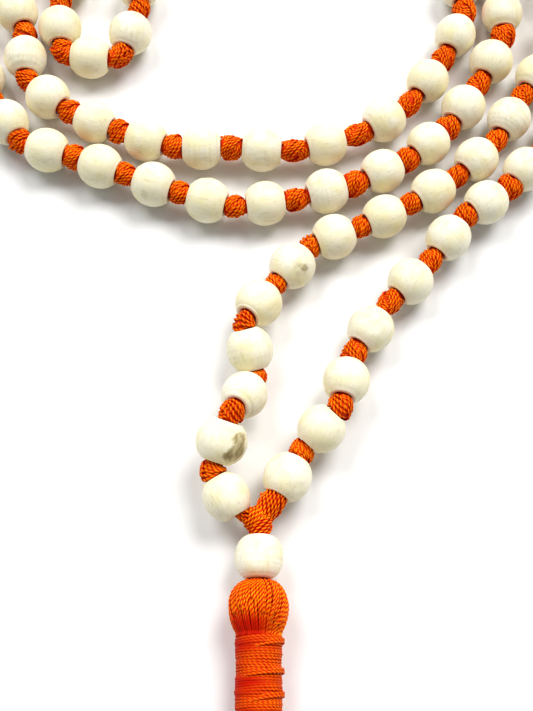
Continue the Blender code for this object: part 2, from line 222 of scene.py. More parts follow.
def joined(name, tubes, finish):
    """One piece from tubes: (grid of points, {attribute: values}, whether its rows close)."""
    base = 0
    points, corners, sizes = [], [], []
    values = {}
    for grid, attributes, closed in tubes:
        rows, columns = grid.shape[:2]
        index = base + np.arange(rows * columns).reshape(rows, columns)
        here = index if closed else index[:-1]
        there = np.roll(index, -1, 0) if closed else index[1:]
        quads = np.stack([here, np.roll(here, -1, 1), np.roll(there, -1, 1), there], -1).reshape(-1, 4)
        corners.append(quads.ravel())
        sizes.append(np.full(len(quads), 4))
        if not closed:
            corners += [index[0][::-1], index[-1]]
            sizes.append(np.array([columns, columns]))
        points.append(grid.reshape(-1, 3))
        for key, value in attributes.items():
            values.setdefault(key, []).append(np.broadcast_to(value, (rows, columns)).ravel())
        base += rows * columns
    corners = np.concatenate(corners)
    sizes = np.concatenate(sizes)
    mesh = bpy.data.meshes.new(name)
    mesh.vertices.add(base)
    mesh.vertices.foreach_set("co", np.concatenate(points).ravel())
    mesh.loops.add(len(corners))
    mesh.loops.foreach_set("vertex_index", corners.astype(np.int32))
    mesh.polygons.add(len(sizes))
    mesh.polygons.foreach_set("loop_start", (np.cumsum(sizes) - sizes).astype(np.int32))
    mesh.update(calc_edges=True)
    mesh.shade_smooth()
    for key, value in values.items():
        attribute = mesh.attributes.new(key, "FLOAT", "POINT")
        attribute.data.foreach_set("value", np.concatenate(value).astype(np.float32))
    mesh.materials.append(finish)
    piece = bpy.data.objects.new(name, mesh)
    bpy.context.scene.collection.objects.link(piece)
    return piece


def resampled(path, step=STATION_STEP, closed=False):
    """Evenly spaced points along a path."""
    track = np.vstack([path, path[:1]]) if closed else path
    length = np.concatenate([[0.0], np.cumsum(np.linalg.norm(np.diff(track, axis=0), axis=1))])
    count = max(int(round(length[-1] / step)), 3)
    at = np.linspace(0.0, length[-1], count + 1)
    if closed:
        at = at[:-1]
    return np.stack([np.interp(at, length, track[:, axis]) for axis in range(3)], -1)


def thread(
        path, outward, closed=False, width=THREAD_WIDTH, columns=8, phase=0.0, depth=0.0, twist=1.0,
        flat=PLY_FLATNESS):
    """A two-ply yarn along a path; outward is the direction away from its body at each point."""
    if closed:
        ahead = np.roll(path, -1, 0) - np.roll(path, 1, 0)
    else:
        ahead = np.gradient(path, axis=0)
    ahead = unit(ahead)
    normal = unit(outward - (outward * ahead).sum(-1, keepdims=True) * ahead)
    binormal = np.cross(ahead, normal)
    steps = np.linalg.norm(np.diff(path, axis=0), axis=1)
    along = np.concatenate([[0.0], np.cumsum(steps)])
    turns = along / TWIST_PITCH
    if closed:
        whole = along[-1] + np.linalg.norm(path[0] - path[-1])
        turns = along / whole * round(2 * whole / TWIST_PITCH) / 2
    theta = np.linspace(0, 2 * math.pi, columns, endpoint=False)
    lobe = np.cos(2 * (theta[None, :] - 2 * math.pi * turns[:, None] - phase))
    twist = np.broadcast_to(np.asarray(twist, float), (len(path),))[:, None]
    radius = width / 2 * (1 - PLY_DEPTH + PLY_DEPTH * lobe * twist)
    high = flat * np.cos(theta)
    ring = high[None, :, None] * normal[:, None] + np.sin(theta)[None, :, None] * binormal[:, None]
    grid = path[:, None] + radius[..., None] * ring
    depth = np.broadcast_to(np.asarray(depth, float), (len(path),))[:, None]
    # Painted shade: each thread's underside, where it lies on its body and against its neighbours, and the
    # grooves between its plies are marked darker.
    side = 0.5 - 0.5 * np.cos(theta)[None, :]
    painted_crevice_shade = np.clip((0.5 - 0.5 * lobe * twist) * PLY_SHADE + side * SIDE_SHADE, 0, 1)
    return grid, {"painted_crevice_shade": painted_crevice_shade, "depth": depth}, closed


def turned(profile, columns, base, along):
    """A closed turned body: (x along, radius) points from end to end, turned about a line."""
    profile = np.asarray(profile, float)
    across = unit(np.cross(Z, along))
    up = np.cross(along, across)
    theta = np.linspace(0, 2 * math.pi, columns, endpoint=False)
    ring = np.cos(theta)[:, None] * across + np.sin(theta)[:, None] * up
    grid = base + profile[:, 0, None, None] * along + profile[:, 1, None, None] * ring
    # Painted shade: a turned body lies under threads, so it carries full crevice shade and depth and shows
    # dark red between them.
    return grid, {"painted_crevice_shade": 0.7, "depth": 1.0}, False


# ---------------------------------------------------------------- materials

def new_material(name):
    made = bpy.data.materials.new(name)
    made.use_nodes = True
    return made, made.node_tree, made.node_tree.nodes["Principled BSDF"]


def add(tree, kind, links=None, **settings):
    """A node with its settings; links maps an input's name or number to a socket or a value."""
    made = tree.nodes.new(kind)
    for key, value in settings.items():
        setattr(made, key, value)
    for key, value in (links or {}).items():
        if isinstance(value, bpy.types.NodeSocket):
            tree.links.new(value, made.inputs[key])
        else:
            made.inputs[key].default_value = value
    return made


def noise(tree, where, scale, stretch=(1, 1, 1), detail=3.0):
    mapped = add(tree, "ShaderNodeMapping", {"Vector": where, "Scale": stretch})
    made = add(tree, "ShaderNodeTexNoise", {"Vector": mapped.outputs[0], "Scale": scale, "Detail": detail})
    return made.outputs[0]


def span(tree, value, low, high, to_low=0.0, to_high=1.0):
    made = add(tree, "ShaderNodeMapRange", {0: value, 1: low, 2: high, 3: to_low, 4: to_high})
    return made.outputs[0]


def mixed(tree, share, first, second):
    made = add(tree, "ShaderNodeMix", {0: share, 6: first, 7: second}, data_type="RGBA")
    return made.outputs[2]


def product(tree, first, second):
    return add(tree, "ShaderNodeMath", {0: first, 1: second}, operation="MULTIPLY").outputs[0]


def value_of(tree, name):
    return add(tree, "ShaderNodeAttribute", attribute_name=name).outputs["Fac"]


def wood_material():
    """Pale turned wood: grain along the bore, fine turning lines round it, blotches, pores and stains."""
    made, tree, shader = new_material("pale_turned_wood")
    where = add(tree, "ShaderNodeTexCoord").outputs["Object"]
    tone = value_of(tree, "tone")
    stain = value_of(tree, "stain")
    shifted = add(tree, "ShaderNodeVectorMath", {0: where, 1: tone}, operation="ADD").outputs[0]
    blotch = span(tree, noise(tree, shifted, 260.0), 0.42, 0.68)
    grain = span(tree, noise(tree, shifted, 1.0, (170, 1500, 1500), 4.0), 0.5, 0.72)
    lines = span(tree, noise(tree, shifted, 1.0, (2600, 60, 60), 2.0), 0.45, 0.75)
    pores = span(tree, noise(tree, shifted, 1.0, (900, 4200, 4200), 1.0), 0.66, 0.74)
    base = mixed(tree, span(tree, tone, -1, 1), (0.89, 0.83, 0.62, 1), (0.91, 0.87, 0.72, 1))
    base = mixed(tree, span(tree, blotch, 0, 1, 0, 0.85), base, (0.86, 0.785, 0.47, 1))
    base = mixed(tree, span(tree, grain, 0, 1, 0, 0.38), base, (0.66, 0.58, 0.38, 1))
    ringed = product(tree, lines, span(tree, tone, 0.1, 1, 0.06, 0.5))
    base = mixed(tree, ringed, base, (0.60, 0.53, 0.35, 1))
    base = mixed(tree, span(tree, pores, 0, 1, 0, 0.45), base, (0.46, 0.39, 0.25, 1))
    swirl = span(tree, noise(tree, shifted, 700.0, (0.5, 1.6, 1.6), 4.0), 0.38, 0.66)
    dark = mixed(tree, swirl, (0.30, 0.23, 0.10, 1), (0.64, 0.56, 0.33, 1))
    base = mixed(tree, stain, base, dark)
    tree.links.new(base, shader.inputs["Base Color"])
    rough = span(tree, grain, 0, 1, 0.5, 0.68)
    tree.links.new(rough, shader.inputs["Roughness"])
    shader.inputs["Specular IOR Level"].default_value = 0.35
    height = mixed(tree, 0.5, grain, lines)
    bump = add(tree, "ShaderNodeBump", {"Height": height, "Strength": 0.25, "Distance": 0.00006}, invert=True)
    tree.links.new(bump.outputs[0], shader.inputs["Normal"])
    return made


def thread_material():
    """Twisted orange cotton: bright where a ply stands proud, with painted shade in deep red-orange between
    the plies and a darker red where depth marks shade.
    """
    made, tree, shader = new_material("orange_thread")
    where = add(tree, "ShaderNodeTexCoord").outputs["Object"]
    painted_crevice_shade = value_of(tree, "painted_crevice_shade")
    depth = value_of(tree, "depth")
    patch = span(tree, noise(tree, where, 420.0), 0.35, 0.65)
    fibre = noise(tree, where, 5200.0, (1, 1, 1), 2.0)
    proud = mixed(tree, patch, (0.97, 0.27, 0.001, 1), (1.0, 0.40, 0.002, 1))
    # Painted shade: the groove colour darkens the ply grooves and the threads' undersides.
    painted_groove_shade = mixed(tree, patch, (0.48, 0.004, 0.0, 1), (0.62, 0.012, 0.0, 1))
    base = mixed(tree, span(tree, painted_crevice_shade, 0.08, 0.68), proud, painted_groove_shade)
    base = mixed(tree, span(tree, fibre, 0.35, 0.7, 0, 0.16), base, (0.88, 0.12, 0.001, 1))
    # Painted shade: where depth is set, on cores under the threads, the ball's shaded side, shaded bands of
    # the binding and the skirt's middle, the colour goes dark red.
    base = mixed(tree, depth, base, (0.50, 0.008, 0.0, 1))
    tree.links.new(base, shader.inputs["Base Color"])
    shader.inputs["Roughness"].default_value = 0.55
    shader.inputs["Specular IOR Level"].default_value = 0.08
    bump = add(tree, "ShaderNodeBump", {"Height": fibre, "Strength": 0.35, "Distance": 0.00006})
    tree.links.new(bump.outputs[0], shader.inputs["Normal"])
    return made


def floor_material():
    made, tree, shader = new_material("pale_floor")
    where = add(tree, "ShaderNodeTexCoord").outputs["Object"]
    tint = span(tree, noise(tree, where, 9.0), 0.3, 0.7)
    base = mixed(tree, tint, (0.81, 0.81, 0.815, 1), (0.83, 0.83, 0.83, 1))
    tree.links.new(base, shader.inputs["Base Color"])
    shader.inputs["Roughness"].default_value = 0.7
    shader.inputs["Specular IOR Level"].default_value = 0.2
    return made


WOOD = wood_material()
THREAD = thread_material()


# ---------------------------------------------------------------- beads

def bead_outline(radius, length, bore, grooves, fullness, face_share):
    """(x, radius) points round a bead's section: outside, one face, the bore's two ends, other face."""
    face = face_share * radius
    reach = length / 2 / (1 - (face / radius) ** fullness) ** (1 / fullness)
    x = (length / 2 - 0.07 * MM) * np.sin(np.linspace(-math.pi / 2, math.pi / 2, 37))
    r = radius * (1 - np.abs(x / reach) ** fullness) ** (1 / fullness)
    for place, depth in grooves:
        r -= depth * np.exp(-((x - place) / (0.13 * MM)) ** 2)
    end = length / 2
    near_end = [
        (end, face - 0.12 * MM), (end - 0.03 * MM, (face + bore) / 2), (end - 0.08 * MM, bore + 0.3 * MM),
        (end - 0.35 * MM, bore + 0.04 * MM), (end - 1.2 * MM, bore),
    ]
    inside = near_end + [(-x, r) for x, r in reversed(near_end)]
    return np.vstack([np.stack([x, r], -1), inside])


def bead_piece(name, radius, length, start, end, seed, stains=(), fullness=2.02, face_share=0.55):
    """A turned bead halfway between two knots, slightly out of round, with its own flats and rings."""
    rng = np.random.default_rng(seed)
    grooves = []
    for side in (-1, 1):
        for place in (0.86, 0.93):
            if rng.random() < 0.55:
                grooves.append((side * place * length / 2, rng.uniform(0.05, 0.12) * MM))
    outline = bead_outline(radius, length, BORE_RADIUS, grooves, fullness, face_share)
    columns = 60
    theta = np.linspace(0, 2 * math.pi, columns, endpoint=False)
    lobes = rng.normal(0, [0.008, 0.005, 0.003]), rng.uniform(0, 2 * math.pi, 3)
    wobble = 1 + sum(a * np.cos(k * theta + p) for k, a, p in zip((1, 2, 3), *lobes))
    lean = rng.normal(0, 0.006)
    around = outline[:, 1, None] * (wobble + lean * outline[:, 0, None] / length * np.cos(theta))
    along_bore = np.broadcast_to(outline[:, 0, None], around.shape)
    grid = np.stack([along_bore, around * np.cos(theta), around * np.sin(theta)], -1)
    for _ in range(rng.integers(0, 3)):
        flat = unit(np.array([rng.uniform(-0.5, 0.5), rng.normal(), rng.normal()]))
        beyond = grid @ flat - radius * rng.uniform(0.955, 0.985)
        grid = grid - np.where(beyond > 0, beyond * 0.8, 0)[..., None] * flat
    along = unit(end - start)
    across = unit(np.cross(Z, along))
    turn = np.stack([along, across, np.cross(along, across)], -1)
    stain = np.zeros(grid.shape[:2])
    for toward, width, strength in stains:
        toward = unit(np.asarray(toward, float)) @ turn
        ways = unit(grid)
        nearness = ways @ toward + 0.03 * np.sin(9 * ways[..., 0] + 5 * ways[..., 1] + seed)
        edge = math.cos(math.radians(width))
        stain = np.maximum(stain, strength * np.clip((nearness - edge) / (1 - edge) * 4, 0, 1))
    tone = rng.uniform(-1, 1)
    piece = joined(name, [(grid, {"tone": tone, "stain": stain}, True)], WOOD)
    piece.matrix_world = Matrix.Translation((start + end) / 2) @ Matrix(turn.tolist()).to_4x4()
    return piece


def owners():
    """For each link of the loop: its bead's name, the CAD node it stands for and the body it rides on."""
    found = []
    for count, node, way in STRETCHES:
        for place in range(count):
            if way == 0:
                found.append((f"{node}_{place + 1:02d}", node, "coil"))
            else:
                number = place + 1 if way > 0 else count - place
                label = f"{node}_{number:02d}"
                found.append((label, label, label))
    return found


# Beads that stand out: their size, and their dark marks as (direction, width in degrees, strength).
SPECIAL_SIZE = {"bead_left_02": 1.05, "bead_left_03": 0.95, "bead_left_04": 0.97, "bead_right_03": 0.98}
SPECIAL_MARKS = {
    "bead_left_02": [
        ((0.80, -0.09, 0.62), 18, 0.8), ((0.72, -0.33, 0.61), 23, 0.95), ((0.60, -0.57, 0.58), 24, 1.0),
        ((0.45, -0.77, 0.46), 22, 0.95), ((0.30, -0.91, 0.30), 17, 0.7)],
    "bead_left_06": [
        ((0.48, -0.40, 0.78), 7, 0.8), ((0.35, -0.50, 0.79), 24, 0.22), ((0.55, -0.30, 0.78), 15, 0.2)],
    "bead_lower_03": [((-0.25, -0.75, 0.5), 8, 0.3)],
    "bead_upper_05": [((0.1, -0.7, 0.6), 9, 0.18)],
}


def build_beads(knots):
    sizes = np.random.default_rng(108)
    for place, (name, node, body) in enumerate(owners()):
        size = 1 - abs(sizes.normal(0, 0.022))
        size = SPECIAL_SIZE.get(name, max(size, 0.94))
        length = BEAD_LENGTH * (1 + sizes.uniform(-0.03, 0.015))
        marks = SPECIAL_MARKS.get(name, ())
        ends = knots[place], knots[place + 1]
        piece = bead_piece("wood_" + name, BEAD_RADIUS * size, length, *ends, place, marks)
        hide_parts(node)
        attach(piece, body)


# ---------------------------------------------------------------- knots

def bent(points, start, start_way, end, end_way):
    """Points built round a straight gap along X, bent to join two bead faces that lean apart."""
    gap = np.linalg.norm(end - start)
    t = points[..., 0] / gap + 0.5
    inside = np.clip(t, 0, 1)[..., None]
    curve = (
        (2 * inside**3 - 3 * inside**2 + 1) * start + (inside**3 - 2 * inside**2 + inside) * gap * start_way
        + (3 * inside**2 - 2 * inside**3) * end + (inside**3 - inside**2) * gap * end_way)
    way = unit(start_way + (end_way - start_way) * (3 * inside**2 - 2 * inside**3))
    curve = curve + way * (t[..., None] - inside) * gap
    across = unit(np.cross(Z, way))
    up = np.cross(way, across)
    return curve + points[..., 1, None] * across + points[..., 2, None] * up


def barrel(u, half, thick, lean):
    """The radius of a knot's body at a distance u from its middle; lean makes one end the thicker."""
    return thick * np.sqrt(np.clip(1 - 0.36 * (u / half) ** 2, 0.05, 1)) * (1 + lean * u / half)


def knot_paths(half, thick, lean, rng):
    """An overhand knot drawn tight: a bundle of threads that goes twice round, with three crossings."""
    t = np.linspace(0, 1, 160, endpoint=False)
    spread = KNOT_THREADS * THREAD_SPACING
    reach = max(half - spread / 2, 0.4 * MM)
    angle = 4 * math.pi * t + rng.uniform(0, 2 * math.pi)
    u = reach * np.cos(6 * math.pi * t)
    slope = np.gradient(u) / np.gradient(angle)
    over = 0.27 * MM * np.sin(6 * math.pi * t)
    steep = np.sqrt(thick**2 + slope**2)
    paths = []
    for number in range(KNOT_THREADS):
        shift = (number - (KNOT_THREADS - 1) / 2) * THREAD_SPACING
        stray = 0.09 * MM * np.sin(2 * math.pi * (t * rng.integers(2, 5) + rng.random()))
        here = u + (shift + stray) * thick / steep
        turn = angle - (shift + stray) * slope / steep / thick
        lift = 0.07 * MM * np.sin(2 * math.pi * (t * rng.integers(3, 7) + rng.random()))
        radius = barrel(here, half, thick, lean) + over + lift
        paths.append(np.stack([here, radius * np.cos(turn), radius * np.sin(turn)], -1))
    return paths


def knot_eye(half, thick, lean, rng):
    """The end of a wrap, curled where it goes back into the knot."""
    t = np.linspace(0, 1, 40)
    reach = np.interp(t, (0, 0.8, 1), (0.3, 0.95, 1.15)) * MM
    turn = 2 * math.pi * 1.7 * t + rng.uniform(0, 2 * math.pi)
    u = rng.uniform(-0.25, 0.25) * half + reach * np.cos(turn)
    radius = barrel(u, half, thick, lean) + np.interp(t, (0, 0.1, 0.85, 1), (-0.3, 0.3, 0.34, -0.2)) * MM
    around = rng.uniform(0, math.pi) + reach * np.sin(turn) / thick
    return np.stack([u, radius * np.cos(around), radius * np.sin(around)], -1)


def knot_core(half, thick, lean):
    """The body under a knot's threads; thinner ends reach into the bores on either side."""
    u = np.linspace(-half - 0.9 * MM, half + 0.9 * MM, 17)[:, None]
    radius = np.where(np.abs(u) < half - 0.2 * MM, barrel(u, half, thick, lean) - 0.02 * MM, 1.45 * MM)
    theta = np.linspace(0, 2 * math.pi, 20, endpoint=False)
    across = radius * np.cos(theta)
    return np.stack([np.broadcast_to(u, across.shape), across, radius * np.sin(theta)], -1)


def knot_piece(name, start, start_way, end, end_way, seed):
    """A knot that fills the gap between two beads' faces."""
    rng = np.random.default_rng(1000 + seed)
    gap = np.linalg.norm(end - start)
    half = gap / 2
    thick = rng.uniform(1.95, 2.45) * MM
    lean = rng.uniform(-0.2, 0.2)
    axis = np.array([[-half, 0, 0], [0, 0, 0], [half, 0, 0]])
    middle = resampled(bent(axis, start, start_way, end, end_way), gap / 12)
    lines = [(path, True) for path in knot_paths(half, thick, lean, rng)]
    if rng.random() < EYE_SHARE:
        lines.append((knot_eye(half, thick, lean, rng), False))
    tubes = []
    for path, closed in lines:
        path = resampled(bent(path, start, start_way, end, end_way), closed=closed)
        nearest = middle[np.argmin(np.linalg.norm(path[:, None] - middle[None], axis=-1), 1)]
        tubes.append(thread(
            path, path - nearest, closed, width=KNOT_THREAD, phase=rng.uniform(0, 6), twist=KNOT_TWIST))
    grid = knot_core(half, thick, lean)
    # Painted shade: the core under the knot's threads is coloured darker, so the gaps between them read as
    # shade.
    tubes.append((bent(grid, start, start_way, end, end_way), {"painted_crevice_shade": 0.6, "depth": 0.35}, False))
    return joined(name, tubes, THREAD)


def gap_between(knots, place):
    """The facing ends of the two beads at a knot: point and direction at either side."""
    before = unit(knots[place] - knots[place - 1])
    after = unit(knots[place + 1] - knots[place])
    start = (knots[place - 1] + knots[place]) / 2 + before * BEAD_LENGTH / 2
    end = (knots[place] + knots[place + 1]) / 2 - after * BEAD_LENGTH / 2
    return start, before, end, after


def knot_bodies(place, last):
    """The body or pair of bodies that carry a knot, in the order of the loop."""
    near_end = {
        1: ("yoke", "section_near"), 2: ("section_near", "section_far"), 3: ("section_far",),
        4: ("section_far", "coil")}
    if place in near_end:
        return near_end[place]
    if last - place in near_end:
        return near_end[last - place][::-1]
    far = {
        HAIRPIN_START: ("coil", "far_end"), HAIRPIN_START + 1: ("far_end",),
        HAIRPIN_START + 2: ("far_end",), HAIRPIN_END: ("far_end", "coil")}
    return far.get(place, ("coil",))


def build_knots(knots):
    last = len(knots) - 1
    for place in range(1, last):
        start, start_way, end, end_way = gap_between(knots, place)
        piece = knot_piece(f"knot_{place:03d}", start, start_way, end, end_way, place)
        bodies = knot_bodies(place, last)
        if len(bodies) == 1:
            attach(piece, bodies[0])
        else:
            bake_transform(piece)


# ---------------------------------------------------------------- cord

def cord_route(knots, first, last):
    """Points along the cord from one knot to another: straight in the beads, curved in the knots."""
    route = [knots[first]]
    for place in range(first + 1, last):
        start, start_way, end, end_way = gap_between(knots, place)
        steps = np.linspace(-0.5, 0.5, 5) * np.linalg.norm(end - start)
        line = np.stack([steps, 0 * steps, 0 * steps], -1)
        route += list(bent(line, start, start_way, end, end_way))
    route.append(knots[last])
    return route


def cord_piece(name, route, body, *nodes):
    data = bpy.data.curves.new(name, "CURVE")
    data.dimensions = "3D"
    data.bevel_depth = CORD_DIAMETER / 2
    data.bevel_resolution = 2
    data.use_fill_caps = True
    spline = data.splines.new("POLY")
    spline.points.add(len(route) - 1)
    for point, place in zip(spline.points, route):
        point.co = (*place, 1.0)
    data.materials.append(THREAD)
    piece = bpy.data.objects.new(name, data)
    bpy.context.scene.collection.objects.link(piece)
    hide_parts(*nodes)
    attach(piece, body)
    return piece


def build_cords(knots):
    """The cord in each body, built as one piece for each stretch in place of the model's cord nodes."""
    last = len(knots) - 1
    stretches = [
        ("cord_strand_left", 4, HAIRPIN_START, "coil", ("cord_left_leg", "cord_upper_sweep")),
        ("cord_strand_right", HAIRPIN_END, last - 4, "coil", ("cord_right_leg", "cord_lower_sweep")),
        ("cord_hairpin", HAIRPIN_START, HAIRPIN_END, "far_end", ("cord_far_end",)),
        ("cord_left_second", 2, 4, "section_far", ("cord_left_far",)),
        ("cord_right_second", last - 4, last - 2, "section_far", ("cord_right_far",)),
        ("cord_left_first", 1, 2, "section_near", ("cord_left_near",)),
        ("cord_right_first", last - 2, last - 1, "section_near", ("cord_right_near",)),
    ]
    for name, first, end, body, nodes in stretches:
        route = cord_route(knots, first, end)
        piece = cord_piece(name, route, body, *nodes)


# ---------------------------------------------------------------- yoke and guru bead

def wound(start, end, radii, starts, turns, rng, depth=0.0):
    """Threads laid side by side in a steep spiral round a straight line, from one end to the other."""
    way = unit(end - start)
    across = unit(np.cross(Z, way))
    up = np.cross(way, across)
    t = np.linspace(0, 1, 60)
    radius = np.interp(t, np.linspace(0, 1, len(radii)), np.asarray(radii) * MM)
    tubes = []
    for number in range(starts):
        angle = 2 * math.pi * (number / starts + turns * t) + 0.05 * np.sin(7 * t + number)
        stray = 0.1 * MM * math.sin(2.7 * number) + 0.06 * MM * np.sin(5 * t + number * 1.9)
        ring = np.cos(angle)[:, None] * across + np.sin(angle)[:, None] * up
        path = start + t[:, None] * (end - start) + (radius + stray)[:, None] * ring
        sampled = resampled(path)
        at = np.linspace(0, 1, len(sampled))
        outward = np.stack([np.interp(at, t, ring[:, axis]) for axis in range(3)], -1)
        tubes.append(thread(sampled, outward, phase=rng.uniform(0, 6), depth=depth))
    return tubes


def core_of(start, end, radii):
    """The body under wound threads, dark red with painted shade where it shows between them."""
    way = unit(end - start)
    length = np.linalg.norm(end - start)
    profile = [(length * i / (len(radii) - 1), r * MM - 0.2 * MM) for i, r in enumerate(radii)]
    return turned([(0, 0.2 * MM), *profile, (length, 0.2 * MM)], 24, start, way)


def stray_loop(face, way):
    """A small loop of thread that stands out beside the yoke's right arm."""
    turn = np.linspace(-0.15, 1.15, 16) * math.pi
    side = unit(np.cross(Z, way))
    base = face - way * 1.3 * MM + side * 2.35 * MM
    loop = base + np.outer(np.cos(turn), way) * 0.5 * MM + np.outer(np.sin(turn), side) * 0.8 * MM
    loop = resampled(loop)
    return thread(loop, np.broadcast_to(Z, loop.shape), width=0.5 * MM)


def build_yoke(knots):
    """Where the strands meet: a thick wound arm, a thin tapered arm and a tight knot between them."""
    rng = np.random.default_rng(7)
    middle = world(YOKE)
    left_way = unit(knots[1] - knots[0])
    right_way = unit(knots[-2] - knots[-1])
    left_face = (knots[0] + knots[1]) / 2 - left_way * BEAD_LENGTH / 2
    right_face = (knots[-1] + knots[-2]) / 2 - right_way * BEAD_LENGTH / 2
    tubes = []
    right_radii = (1.95, 2.3, 2.35, 2.1, 1.9)
    right_start = right_face + right_way * 0.5 * MM
    right_end = middle + (right_face - middle) * 0.08
    tubes += wound(right_start, right_end, right_radii, 14, -0.42, rng)
    tubes.append(core_of(right_start, right_end, right_radii))
    left_radii = (0.5, 1.15, 1.7, 1.95)
    left_start = left_face + left_way * 0.7 * MM
    left_end = middle + np.array([-0.2, 0.1, 0.0]) * MM
    tubes += wound(left_start, left_end, left_radii, 12, -0.12, rng)
    tubes.append(core_of(left_start, left_end, left_radii))
    collar_start = left_start + (left_end - left_start) * 0.52
    collar_end = left_end + (left_end - left_start) * 0.12
    tubes += wound(collar_start, collar_end, (1.8, 2.35, 2.45, 2.1), 3, 1.6, rng)
    foot = on_axis(GURU_TOP - 0.6)
    foot_radii = (2.0, 2.2, 2.0, 1.5)
    head = middle + np.array([0.5, 1.0, 0.0]) * MM
    tubes += wound(head, foot, foot_radii, 12, 0.3, rng)
    tubes.append(core_of(head, foot, foot_radii))
    tubes.append(stray_loop(right_face, right_way))
    piece = joined("yoke_winding", tubes, THREAD)
    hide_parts("yoke_knot")
    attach(piece, "yoke")


def build_guru():
    """The guru bead and the doubled cord through it."""
    top, bottom = on_axis(GURU_TOP), on_axis(GURU_BOTTOM)
    length = (GURU_TOP - GURU_BOTTOM) * MM
    piece = bead_piece(
        "wood_guru_bead", GURU_RADIUS, length, top, bottom, 501, fullness=2.35, face_share=0.52)
    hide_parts("guru_bead")
    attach(piece, "guru_bead")
    rng = np.random.default_rng(11)
    lower = on_axis(GURU_BOTTOM - 1.6)
    upper = on_axis(GURU_TOP - 0.7)
    tubes = wound(upper, lower, (1.0, 1.0), 8, 1.0, rng)
    tubes.append(core_of(upper, lower, (1.0, 1.0)))
    cord = joined("doubled_cord", tubes, THREAD)
    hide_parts("guru_cord")
    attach(cord, "guru_cord")


# ---------------------------------------------------------------- tassel

def head_path(latitude, turn, lift):
    """Points over the ball: latitude from its top, turn round its level axis, lift off its surface."""
    radius = HEAD_RADIUS - THREAD_WIDTH / 2 + lift
    stretch = np.where(latitude < math.pi / 2, 0.93, 1.3)
    across = radius * np.sin(latitude) ** 0.92
    y = HEAD_MIDDLE + radius / MM * stretch * np.cos(latitude)
    return np.stack([on_axis(*at) for at in zip(y, across * np.cos(turn), across * np.sin(turn))])


def direction(latitude, turn):
    """A direction from the ball's middle, with the ball's top first, then its side and its height."""
    return np.array([
        math.cos(latitude), math.sin(latitude) * math.cos(turn), math.sin(latitude) * math.sin(turn)])


def head_thread(path, rng):
    """One of the ball's threads: flatter, and redder with painted shade, by the neck on one side and under
    the guru bead.
    """
    away = path - on_axis(HEAD_MIDDLE)
    turn = np.arctan2(away[:, 2], away[:, 0])
    down = -away[:, 1] / HEAD_RADIUS
    # Painted shade: the ball's low side, turned from the light, and its top under the guru bead are marked
    # deep red.
    low = np.clip((down - 0.1) / 0.45, 0, 1) * np.clip(1.5 - np.abs(turn - 2.1) * 1.05, 0, 1)
    top = np.clip((-down - 0.72) / 0.15, 0, 1)
    red = np.maximum(low, top * 0.8)
    return thread(path, away, phase=rng.uniform(0, 6), depth=red * 0.95, twist=1 - red * 0.8)


def build_head():
    """Folded threads that leave the top of the ball and come together again at the neck."""
    rng = np.random.default_rng(21)
    tubes = lengthwise_threads(rng) + overlaid_threads(rng)
    # The ball under the threads, dark with painted shade.
    angle = np.linspace(0.2, math.pi * 0.8, 20)
    ball = [(HEAD_RADIUS * 0.86 * (1 - math.cos(a)), HEAD_RADIUS * 0.9 * math.sin(a)) for a in angle]
    tubes.append(turned(ball, 40, on_axis(HEAD_MIDDLE + HEAD_RADIUS * 0.86 / MM), -Y))
    piece = joined("tassel_head_threads", tubes, THREAD)
    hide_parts("tassel_head")
    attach(piece, "tassel")


def lengthwise_threads(rng):
    """Threads all round the ball, from its top to the neck."""
    t = np.linspace(0, 1, 70)
    top, neck = 0.28, 2.31
    tubes = []
    for number in range(HEAD_STRANDS):
        longitude = 2 * math.pi * number / HEAD_STRANDS
        swirl = 0.3 * math.sin(longitude - 0.7)
        latitude = top + (neck - top) * t
        turn = longitude + swirl * (1 - t) ** 1.5 + 0.012 * np.sin(6 * t + number * 2.1)
        crowded = 1 - np.sin(math.pi * np.clip((latitude - 0.2) / 2.9, 0, 1)) ** 0.7
        under = 0.18 * MM * (number % 2) * crowded
        path = head_path(latitude, turn, 0.07 * MM * math.sin(number * 1.7) - under)
        tail = path[-1] - 0.9 * MM * Y
        tubes.append(head_thread(resampled(np.vstack([path, tail])), rng))
    return tubes


def overlaid_threads(rng):
    """Threads laid over the ball's upper side, which draw together low in front."""
    t = np.linspace(0, 1, 70)
    tubes = []
    for number in range(HEAD_OVERLAYS):
        turn = 0.1 + 2.95 * (number + 0.5) / HEAD_OVERLAYS + rng.uniform(-0.03, 0.03)
        start = direction(0.33, turn)
        aside = abs(turn - 1.52)
        middle = direction(1.2 + 0.4 * aside, turn + 0.08 * math.cos(turn))
        end = direction(2.05 + 0.2 * aside, 1.52 + 0.36 * (turn - 1.52) + rng.uniform(-0.05, 0.05))
        stop = rng.uniform(0.64, 0.78) if turn > 1.5 else rng.uniform(0.8, 1.0)
        s = (t * stop)[:, None]
        way = unit((1 - s) ** 2 * start + 2.3 * s * (1 - s) * middle + s**2 * end)
        latitude = np.arccos(way[:, 0])
        dive = np.clip((t - 0.84) / 0.16, 0, 1) + np.clip((0.1 - t) / 0.1, 0, 1)
        lift = (0.22 + 0.16 * (number % 2) + rng.uniform(0, 0.1) - 0.8 * dive) * MM
        path = head_path(latitude, np.arctan2(way[:, 2], way[:, 1]), lift)
        tubes.append(head_thread(resampled(path), rng))
    return tubes


def neck_path(y, radius, angle):
    """Points round the neck, and the direction away from its axis at each."""
    points = np.stack([on_axis(*at) for at in zip(y, radius * np.cos(angle), radius * np.sin(angle))])
    path = resampled(points, 0.24 * MM)
    outward = path - on_axis(0.0)
    outward[:, 1] = 0.0
    return path, outward


